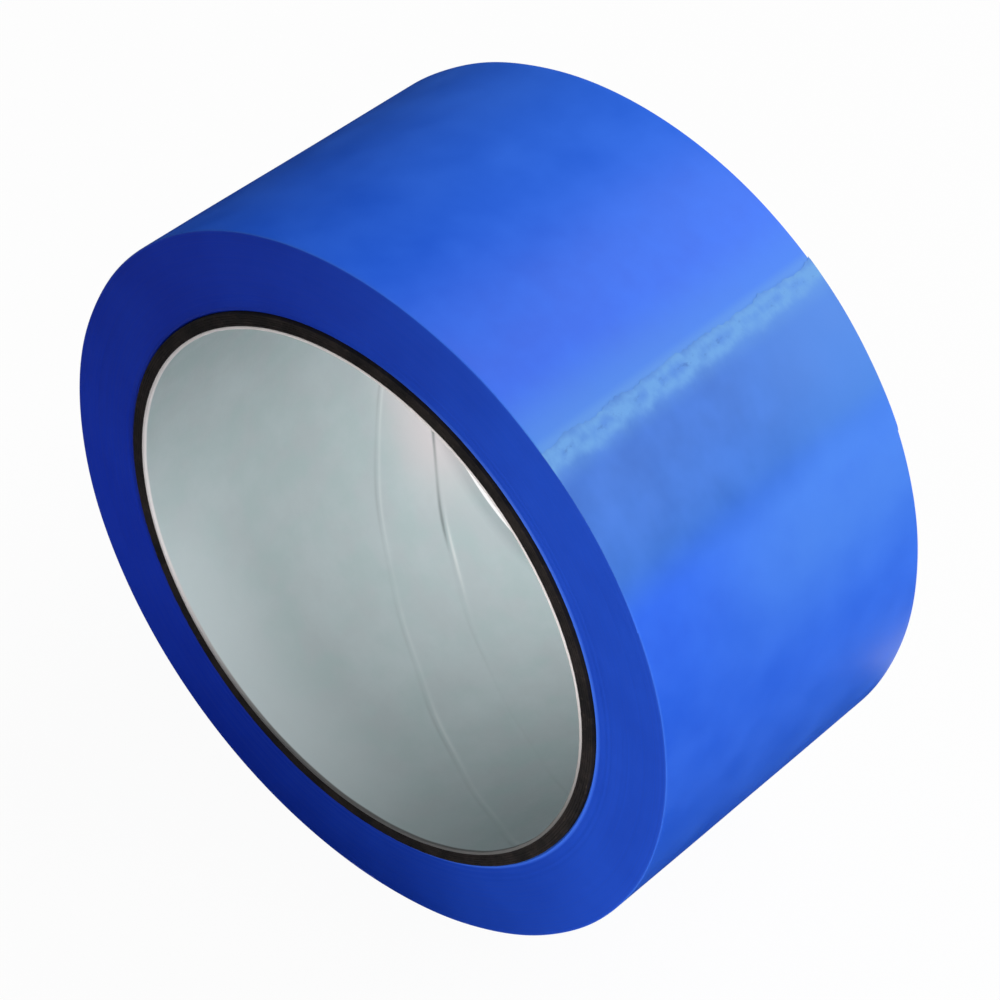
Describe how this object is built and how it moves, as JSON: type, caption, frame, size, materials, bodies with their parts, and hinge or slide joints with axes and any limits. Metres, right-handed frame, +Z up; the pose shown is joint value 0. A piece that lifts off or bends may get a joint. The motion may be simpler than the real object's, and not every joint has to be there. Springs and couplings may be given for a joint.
{
  "type": "roll of carton-sealing tape",
  "caption": "Full roll of glossy blue carton-sealing tape wound on a round paperboard core with an open bore; its free end peels up from the tread.",
  "frame": {"origin": "centre of the roll, on the axis of its bore, halfway between the two ends of the core", "axes": "the roll stands on its tread: +Z up, +Y along the axis of the bore from the shown side face to the hidden one, +X to the right of someone who faces the shown side"},
  "size_m": [0.1018, 0.0506, 0.1018],
  "materials": {
    "tape_film": "glossy blue film, satin on the wound side faces",
    "core_board": "rough cut edge of dark brown paperboard",
    "liner_paper": "smooth pale grey paper with helical seams"
  },
  "bodies": {
    "roll": {"core_liner": "liner_paper", "core_board_ply_1": "core_board", "core_board_ply_2": "core_board", "core_board_ply_3": "core_board", "core_board_ply_4": "core_board", "core_board_ply_5": "core_board", "tape_pack": "tape_film"},
    "free_end": {"tape_free_end": "tape_film"}
  },
  "joints": [
    {"name": "free_end_peel", "type": "hinge", "parent": "roll", "child": "free_end", "pos_m": [0.04413, 0, 0.02541], "axis": [0, 1, 0], "range_deg": [0, 150]}
  ]
}
